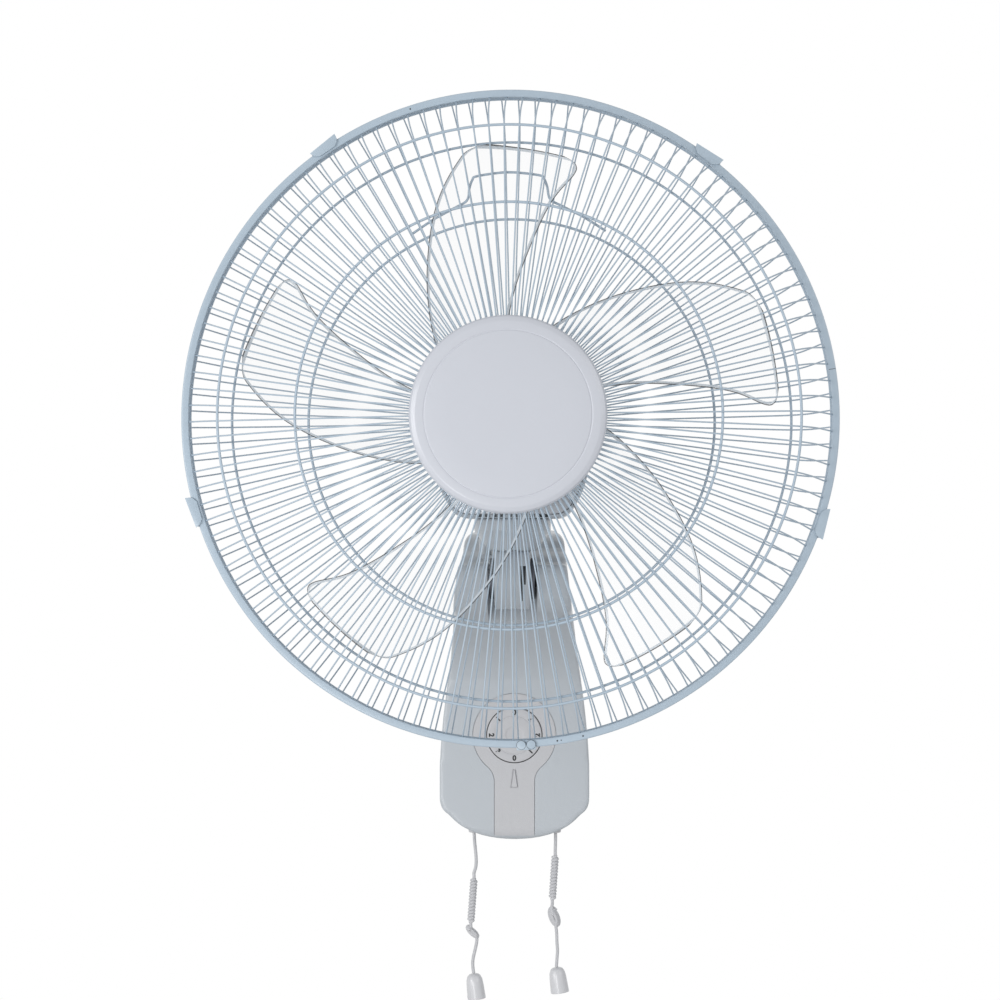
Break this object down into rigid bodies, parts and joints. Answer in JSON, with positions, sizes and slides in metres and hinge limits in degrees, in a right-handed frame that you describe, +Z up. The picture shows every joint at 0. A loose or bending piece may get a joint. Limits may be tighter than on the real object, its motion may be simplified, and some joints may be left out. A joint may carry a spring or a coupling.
{
  "type": "wall mounted fan",
  "caption": "Wall mounted fan with clear blades in a round wire guard, a tilting and swinging head, and a control body with a dial and pull cords.",
  "frame": {"origin": "on the wall, at the middle of the wall bracket's back face", "axes": "+Z up, +Y into the wall, so that the fan blows towards -Y; +X to the right for somebody who faces the fan"},
  "size_m": [0.44, 0.319, 0.6393],
  "materials": {
    "painted_steel": "smooth pale blue-grey powder coat",
    "sheet_steel": "zinc plated",
    "case_plastic": "light grey, fine satin",
    "cap_plastic": "smooth, soft gloss",
    "trim_plastic": "light grey, satin",
    "dark_plastic": "black, plain",
    "clear_plastic": "clear, polished",
    "copper": "enamelled copper wire",
    "brass": "plain",
    "cord": "braided white cord"
  },
  "bodies": {
    "wall_base": {"wall_bracket": "sheet_steel", "rear_case": "case_plastic", "front_case": "case_plastic", "dial_surround": "trim_plastic", "tilt_fork": "sheet_steel", "tilt_bolt": "sheet_steel", "speed_switch": "dark_plastic", "oscillation_switch": "dark_plastic", "capacitor": "dark_plastic", "terminal_block": "dark_plastic", "cable_gland": "dark_plastic", "cord_clamp": "dark_plastic", "left_cord_bush": "trim_plastic", "right_cord_bush": "trim_plastic", "case_screw_1": "sheet_steel", "case_screw_2": "sheet_steel", "case_screw_3": "sheet_steel", "case_screw_4": "sheet_steel"},
    "dial": {"speed_dial": "trim_plastic"},
    "speed_lever": {"speed_lever": "dark_plastic"},
    "oscillation_lever": {"oscillation_lever": "dark_plastic"},
    "speed_pull": {"right_upper_cord": "cord", "right_cord_winding": "cord", "right_lower_cord": "cord", "right_pull_knob": "trim_plastic"},
    "oscillation_pull": {"left_upper_cord": "cord", "left_cord_winding": "cord", "left_lower_cord": "cord", "left_pull_knob": "trim_plastic"},
    "tilting_neck": {"tilt_knuckle": "case_plastic", "swivel_post": "sheet_steel"},
    "link": {"oscillation_link": "dark_plastic"},
    "crank": {"oscillation_crank": "dark_plastic"},
    "head": {"neck_block": "case_plastic", "swivel_bush": "brass", "motor_front_shield": "sheet_steel", "motor_rear_shield": "sheet_steel", "stator_core": "sheet_steel", "front_winding": "copper", "rear_winding": "copper", "front_bearing": "sheet_steel", "rear_bearing": "sheet_steel", "motor_cover": "case_plastic", "cover_screw": "sheet_steel", "oscillation_motor": "sheet_steel", "rear_guard": "painted_steel", "guard_handle": "painted_steel", "guard_nut": "dark_plastic", "front_guard": "painted_steel", "hub_cap": "cap_plastic", "rim_band": "painted_steel", "rim_lock": "painted_steel"},
    "clip_1": {"rim_clip_1": "painted_steel"},
    "clip_2": {"rim_clip_2": "painted_steel"},
    "clip_3": {"rim_clip_3": "painted_steel"},
    "clip_4": {"rim_clip_4": "painted_steel"},
    "rotor": {"motor_shaft": "sheet_steel", "rotor_core": "sheet_steel", "fan_blades": "clear_plastic", "blade_nut": "dark_plastic"}
  },
  "joints": [
    {"name": "tilt", "type": "hinge", "parent": "wall_base", "child": "tilting_neck", "pos_m": [0, -0.15, 0.082], "axis": [1, 0, 0], "range_deg": [0, 25]},
    {"name": "swing", "type": "hinge", "parent": "tilting_neck", "child": "head", "pos_m": [0, -0.15, 0.1], "axis": [0, 0, 1], "range_deg": [-40, 40]},
    {"name": "blade_spin", "type": "hinge", "parent": "head", "child": "rotor", "pos_m": [0, -0.25, 0.19], "axis": [0, 1, 0], "continuous": true},
    {"name": "crank_spin", "type": "hinge", "parent": "head", "child": "crank", "pos_m": [0.014, -0.114, 0.118], "axis": [0, 0, 1], "continuous": true},
    {"name": "link_swing", "type": "hinge", "parent": "tilting_neck", "child": "link", "pos_m": [-0.02, -0.124, 0.11], "axis": [0, 0, 1], "range_deg": [-12, 12]},
    {"name": "dial_turn", "type": "hinge", "parent": "wall_base", "child": "dial", "pos_m": [0, -0.078, -0.0336], "axis": [0, 1, 0], "continuous": true},
    {"name": "speed_pull", "type": "slide", "parent": "wall_base", "child": "speed_pull", "axis": [0, 0, -1], "range_m": [0, 0.024], "stiffness_N_per_m": 150, "springref_m": -0.004},
    {"name": "speed_lever_turn", "type": "hinge", "parent": "wall_base", "child": "speed_lever", "pos_m": [0, -0.062, -0.0336], "axis": [0, 1, 0], "range_deg": [0, 45]},
    {"name": "oscillation_pull", "type": "slide", "parent": "wall_base", "child": "oscillation_pull", "axis": [0, 0, -1], "range_m": [0, 0.012], "stiffness_N_per_m": 150, "springref_m": -0.004},
    {"name": "oscillation_lever_turn", "type": "hinge", "parent": "wall_base", "child": "oscillation_lever", "pos_m": [-0.0155, -0.062, -0.08], "axis": [0, -1, 0], "range_deg": [0, 45]},
    {"name": "clip_1_open", "type": "hinge", "parent": "head", "child": "clip_1", "pos_m": [0.1318, -0.24, 0.3649], "axis": [-0.7986, 0, 0.6018], "range_deg": [0, 80]},
    {"name": "clip_2_open", "type": "hinge", "parent": "head", "child": "clip_2", "pos_m": [-0.12341, -0.24, 0.37092], "axis": [-0.8261, 0, -0.5635], "range_deg": [0, 80]},
    {"name": "clip_3_open", "type": "hinge", "parent": "head", "child": "clip_3", "pos_m": [-0.20998, -0.24, 0.1278], "axis": [0.284, 0, -0.9588], "range_deg": [0, 80]},
    {"name": "clip_4_open", "type": "hinge", "parent": "head", "child": "clip_4", "pos_m": [0.20756, -0.24, 0.12015], "axis": [0.319, 0, 0.9478], "range_deg": [0, 80]}
  ],
  "couplings": [
    {"joint": "speed_lever_turn", "follows": "speed_pull", "rad_per_m": 32.7},
    {"joint": "oscillation_lever_turn", "follows": "oscillation_pull", "rad_per_m": 65.4}
  ]
}
